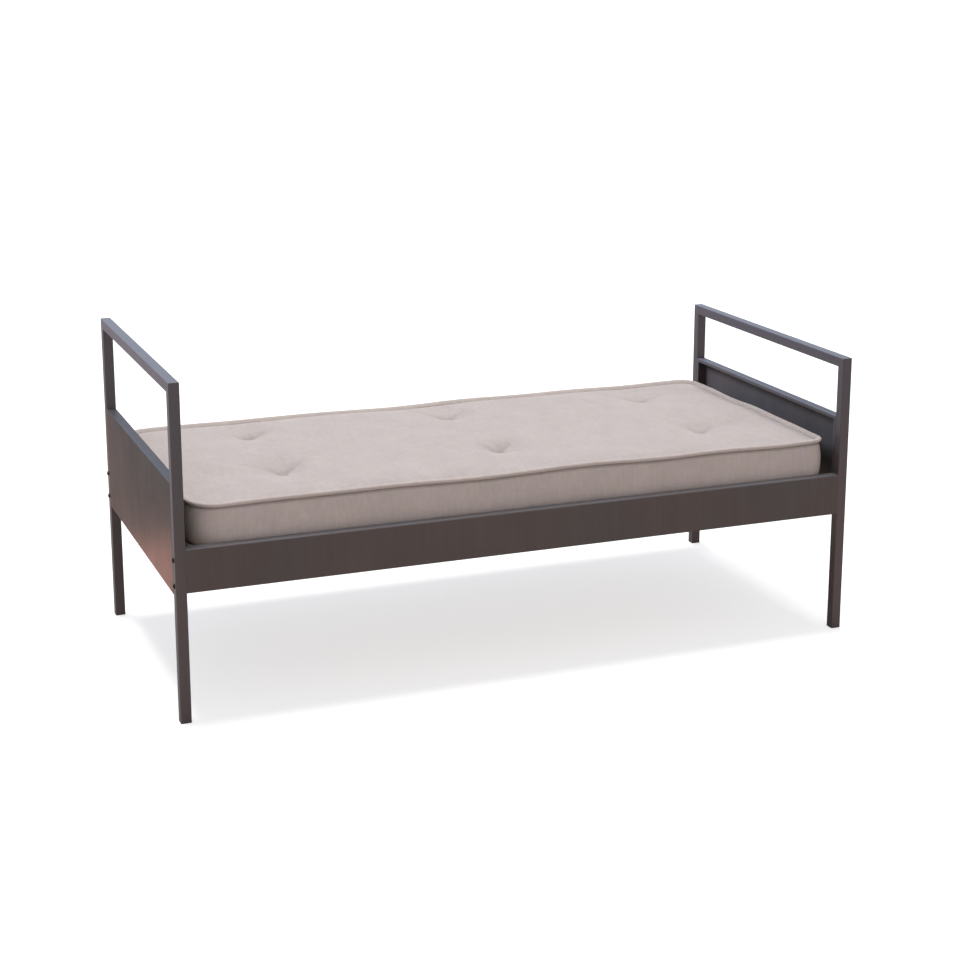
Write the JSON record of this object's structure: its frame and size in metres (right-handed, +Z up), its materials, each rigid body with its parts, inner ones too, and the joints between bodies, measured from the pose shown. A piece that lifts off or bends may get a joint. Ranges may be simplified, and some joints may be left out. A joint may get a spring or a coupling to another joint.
{
  "type": "daybed",
  "caption": "Fixed steel daybed with square-tube end frames of unequal height, folded side rails, slats and a loose tufted mattress.",
  "frame": {"origin": "on the floor, under the middle of the bed", "axes": "X from the head end, which is the taller one, to the foot end; Y from front to back; Z up"},
  "size_m": [2.0688, 0.95, 0.945],
  "materials": {
    "frame_steel": "satin",
    "panel_steel": "satin",
    "rail_steel": "satin",
    "bolt_black": "satin",
    "zinc_steel": "satin",
    "slat_wood": "matte",
    "glide_plastic": "matte",
    "mattress_fabric": "matte"
  },
  "bodies": {
    "frame": {"head_front_post": "frame_steel", "head_back_post": "frame_steel", "head_top_bar": "frame_steel", "head_panel": "panel_steel", "foot_front_post": "frame_steel", "foot_back_post": "frame_steel", "foot_top_bar": "frame_steel", "foot_panel": "panel_steel", "front_rail": "rail_steel", "back_rail": "rail_steel", "front_rail_end_plates": "frame_steel", "back_rail_end_plates": "frame_steel", "weld_nuts": "zinc_steel", "side_bolts": "bolt_black", "front_ledge": "frame_steel", "back_ledge": "frame_steel", "slat_01": "slat_wood", "slat_02": "slat_wood", "slat_03": "slat_wood", "slat_04": "slat_wood", "slat_05": "slat_wood", "slat_06": "slat_wood", "slat_07": "slat_wood", "slat_08": "slat_wood", "slat_09": "slat_wood", "slat_10": "slat_wood", "slat_11": "slat_wood", "slat_12": "slat_wood", "slat_13": "slat_wood", "slat_14": "slat_wood", "slat_screws": "zinc_steel", "head_front_glide": "glide_plastic", "head_back_glide": "glide_plastic", "foot_front_glide": "glide_plastic", "foot_back_glide": "glide_plastic"},
    "mattress": {"mattress": "mattress_fabric"}
  },
  "joints": [
    {"name": "mattress_lift", "type": "slide", "parent": "frame", "child": "mattress", "axis": [0, 0, 1], "range_m": [0, 0.5]}
  ]
}
